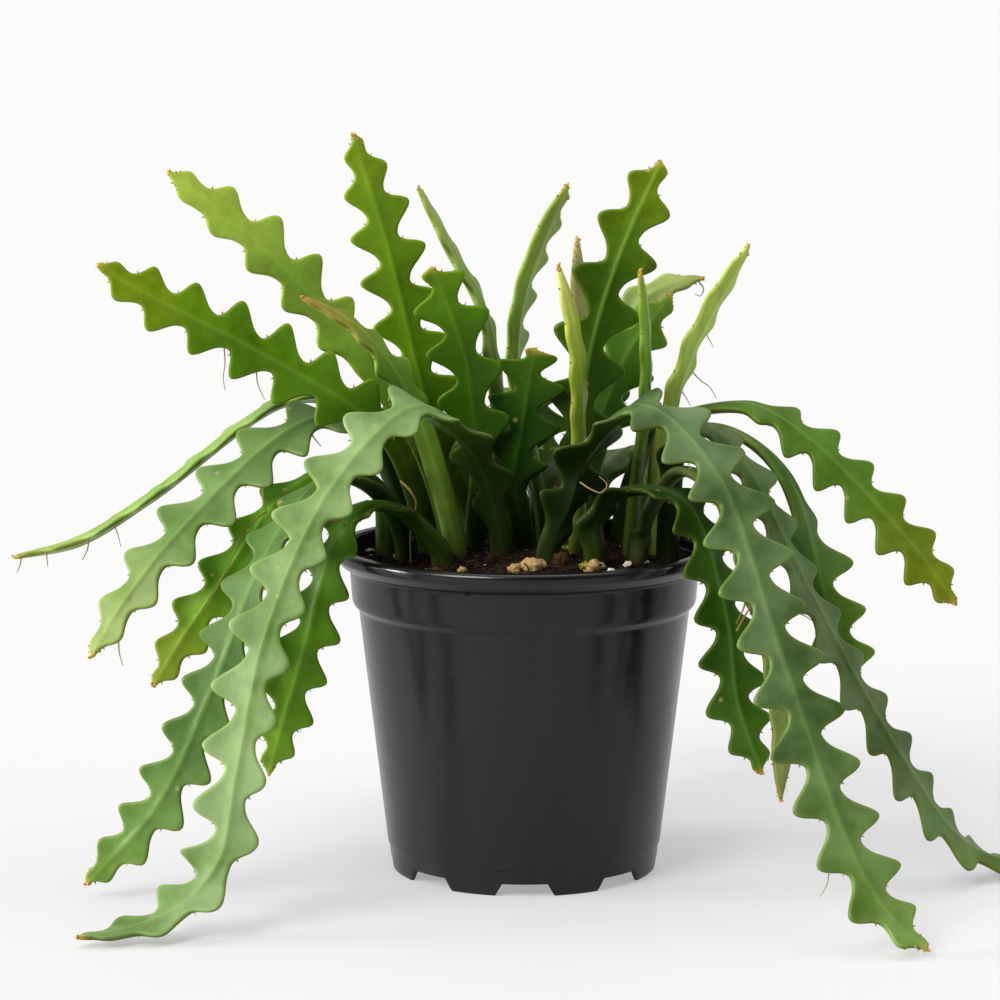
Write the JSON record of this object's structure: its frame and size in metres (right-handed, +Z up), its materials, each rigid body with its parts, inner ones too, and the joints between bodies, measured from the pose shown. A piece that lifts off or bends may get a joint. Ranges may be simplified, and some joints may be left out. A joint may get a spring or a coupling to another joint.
{
  "type": "potted fishbone cactus",
  "caption": "Fishbone cactus with flat, saw-lobed stems that stand up, arch over the rim and trail, in a tapered round nursery pot filled with potting mix.",
  "frame": {"origin": "on the pot's axis, at the surface that the pot stands on, which is also the middle of the plant's width and depth", "axes": "+X to the viewer's right as pictured, along the widest spread of the stems; -Y towards the viewer; +Z up along the pot's axis"},
  "size_m": [0.3993, 0.2786, 0.288],
  "materials": {
    "charcoal_plastic": "semi-matte injection-moulded polypropylene, charcoal black",
    "potting_mix": "moist dark brown bark and peat mix",
    "cactus_stem": "waxy green skin with a silvery upper face",
    "young_cactus_stem": "waxy yellow-green young skin",
    "dried_cactus_stem": "dull olive-brown skin of an ageing stem"
  },
  "bodies": {
    "root": {"pot": "charcoal_plastic", "soil": "potting_mix", "stem_back_arch": "cactus_stem", "stem_back_broad": "cactus_stem", "stem_back_left_trailing": "cactus_stem", "stem_back_low": "cactus_stem", "stem_back_pale": "cactus_stem", "stem_back_right_hanging": "cactus_stem", "stem_back_right_trailing": "cactus_stem", "stem_left_arch_flat": "cactus_stem", "stem_left_arch_front": "cactus_stem", "stem_left_arch_low": "cactus_stem", "stem_left_arch_silver": "cactus_stem", "stem_left_broad": "cactus_stem", "stem_left_hanging": "cactus_stem", "stem_left_leaning": "cactus_stem", "stem_left_trailing": "cactus_stem", "stem_left_young": "young_cactus_stem", "stem_middle_blunt": "cactus_stem", "stem_middle_dark": "cactus_stem", "stem_pale_slim": "cactus_stem", "stem_right_arch_front": "cactus_stem", "stem_right_arch_high": "cactus_stem", "stem_right_arch_second": "cactus_stem", "stem_right_arch_third": "cactus_stem", "stem_right_dried": "dried_cactus_stem", "stem_right_hanging": "cactus_stem", "stem_right_leaning": "young_cactus_stem", "stem_slim_left": "cactus_stem", "stem_slim_middle": "cactus_stem", "stem_slim_right": "cactus_stem", "stem_tall_left": "cactus_stem", "stem_tall_right": "cactus_stem", "stem_yellow_young": "young_cactus_stem"}
  },
  "joints": []
}
